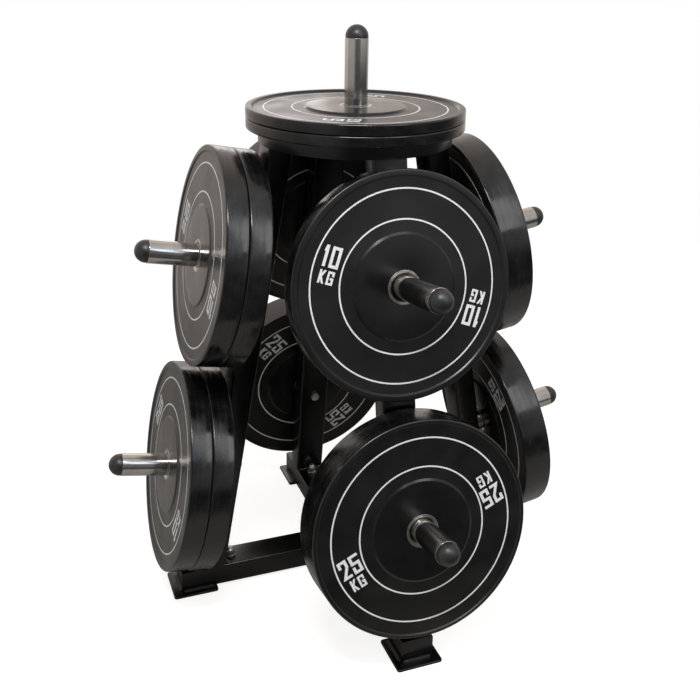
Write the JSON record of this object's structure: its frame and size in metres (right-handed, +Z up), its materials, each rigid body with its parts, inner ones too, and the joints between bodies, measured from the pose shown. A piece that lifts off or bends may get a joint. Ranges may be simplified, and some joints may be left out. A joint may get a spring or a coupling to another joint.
{
  "type": "plate tree",
  "caption": "Free-standing rack with leaning legs on a cross base; plates slide off upward-tilted chrome pegs and off an upright peg on its cap.",
  "frame": {"origin": "on the floor, under the middle of the rack", "axes": "+Z up, -Y towards the front leg, +X towards the right leg"},
  "size_m": [1.0912, 1.0912, 1.2349],
  "materials": {
    "coated_steel": "black powder coat, satin",
    "chrome": "polished chrome plating",
    "zinc": "bright zinc plating",
    "insert_steel": "turned steel",
    "cap_rubber": "moulded rubber, matt",
    "plate_rubber": "moulded rubber, matt faces and smoother rim"
  },
  "bodies": {
    "root": {"base_cross_beam": "coated_steel", "base_beam_front": "coated_steel", "base_beam_rear": "coated_steel", "foot_plate_front": "coated_steel", "foot_plate_rear": "coated_steel", "foot_plate_left": "coated_steel", "foot_plate_right": "coated_steel", "base_bolt_front": "zinc", "base_bolt_rear": "zinc", "base_bolt_left": "zinc", "base_bolt_right": "zinc", "leg_front": "coated_steel", "leg_rear": "coated_steel", "leg_left": "coated_steel", "leg_right": "coated_steel", "top_cap": "coated_steel", "peg_front_upper": "chrome", "peg_front_lower": "chrome", "peg_rear_upper": "chrome", "peg_rear_lower": "chrome", "peg_left_upper": "chrome", "peg_left_lower": "chrome", "peg_right_upper": "chrome", "peg_right_lower": "chrome", "peg_top": "chrome", "peg_cap_front_upper": "cap_rubber", "peg_cap_front_lower": "cap_rubber", "peg_cap_rear_upper": "cap_rubber", "peg_cap_rear_lower": "cap_rubber", "peg_cap_left_upper": "cap_rubber", "peg_cap_left_lower": "cap_rubber", "peg_cap_right_upper": "cap_rubber", "peg_cap_right_lower": "cap_rubber", "peg_cap_top": "cap_rubber"},
    "plate_front_upper": {"plate_front_upper": "plate_rubber", "bore_front_upper": "insert_steel"},
    "plate_front_lower": {"plate_front_lower": "plate_rubber", "bore_front_lower": "insert_steel"},
    "plate_left_upper_inner": {"plate_left_upper_inner": "plate_rubber", "bore_left_upper_inner": "insert_steel"},
    "plate_left_upper_outer": {"plate_left_upper_outer": "plate_rubber", "bore_left_upper_outer": "insert_steel"},
    "plate_left_lower_inner": {"plate_left_lower_inner": "plate_rubber", "bore_left_lower_inner": "insert_steel"},
    "plate_left_lower_outer": {"plate_left_lower_outer": "plate_rubber", "bore_left_lower_outer": "insert_steel"},
    "plate_right_upper": {"plate_right_upper": "plate_rubber", "bore_right_upper": "insert_steel"},
    "plate_right_lower": {"plate_right_lower": "plate_rubber", "bore_right_lower": "insert_steel"},
    "plate_rear_upper": {"plate_rear_upper": "plate_rubber", "bore_rear_upper": "insert_steel"},
    "plate_rear_lower": {"plate_rear_lower": "plate_rubber", "bore_rear_lower": "insert_steel"},
    "plate_top_inner": {"plate_top_inner": "plate_rubber", "bore_top_inner": "insert_steel"},
    "plate_top_outer": {"plate_top_outer": "plate_rubber", "bore_top_outer": "insert_steel"}
  },
  "joints": [
    {"name": "slide_front_upper", "type": "slide", "parent": "root", "child": "plate_front_upper", "axis": [0, -0.9848, 0.1736], "range_m": [0, 0.245]},
    {"name": "slide_front_lower", "type": "slide", "parent": "root", "child": "plate_front_lower", "axis": [0, -0.9848, 0.1736], "range_m": [-0.0105, 0.23]},
    {"name": "slide_left_upper_inner", "type": "slide", "parent": "root", "child": "plate_left_upper_inner", "axis": [-0.9848, 0, 0.1736], "range_m": [-0.0145, 0.23]},
    {"name": "slide_left_upper_outer", "type": "slide", "parent": "plate_left_upper_inner", "child": "plate_left_upper_outer", "axis": [-0.9848, 0, 0.1736], "range_m": [0, 0.185]},
    {"name": "slide_left_lower_inner", "type": "slide", "parent": "root", "child": "plate_left_lower_inner", "axis": [-0.9848, 0, 0.1736], "range_m": [-0.0175, 0.225]},
    {"name": "slide_left_lower_outer", "type": "slide", "parent": "plate_left_lower_inner", "child": "plate_left_lower_outer", "axis": [-0.9848, 0, 0.1736], "range_m": [0, 0.18]},
    {"name": "slide_right_upper", "type": "slide", "parent": "root", "child": "plate_right_upper", "axis": [0.9848, 0, 0.1736], "range_m": [-0.0109, 0.23]},
    {"name": "slide_right_lower", "type": "slide", "parent": "root", "child": "plate_right_lower", "axis": [0.9848, 0, 0.1736], "range_m": [-0.017, 0.225]},
    {"name": "slide_rear_upper", "type": "slide", "parent": "root", "child": "plate_rear_upper", "axis": [0, 0.9848, 0.1736], "range_m": [-0.0065, 0.235]},
    {"name": "slide_rear_lower", "type": "slide", "parent": "root", "child": "plate_rear_lower", "axis": [0, 0.9848, 0.1736], "range_m": [-0.0105, 0.23]},
    {"name": "slide_top_inner", "type": "slide", "parent": "root", "child": "plate_top_inner", "axis": [0, 0, 1], "range_m": [0, 0.215]},
    {"name": "slide_top_outer", "type": "slide", "parent": "plate_top_inner", "child": "plate_top_outer", "axis": [0, 0, 1], "range_m": [0, 0.195]}
  ]
}
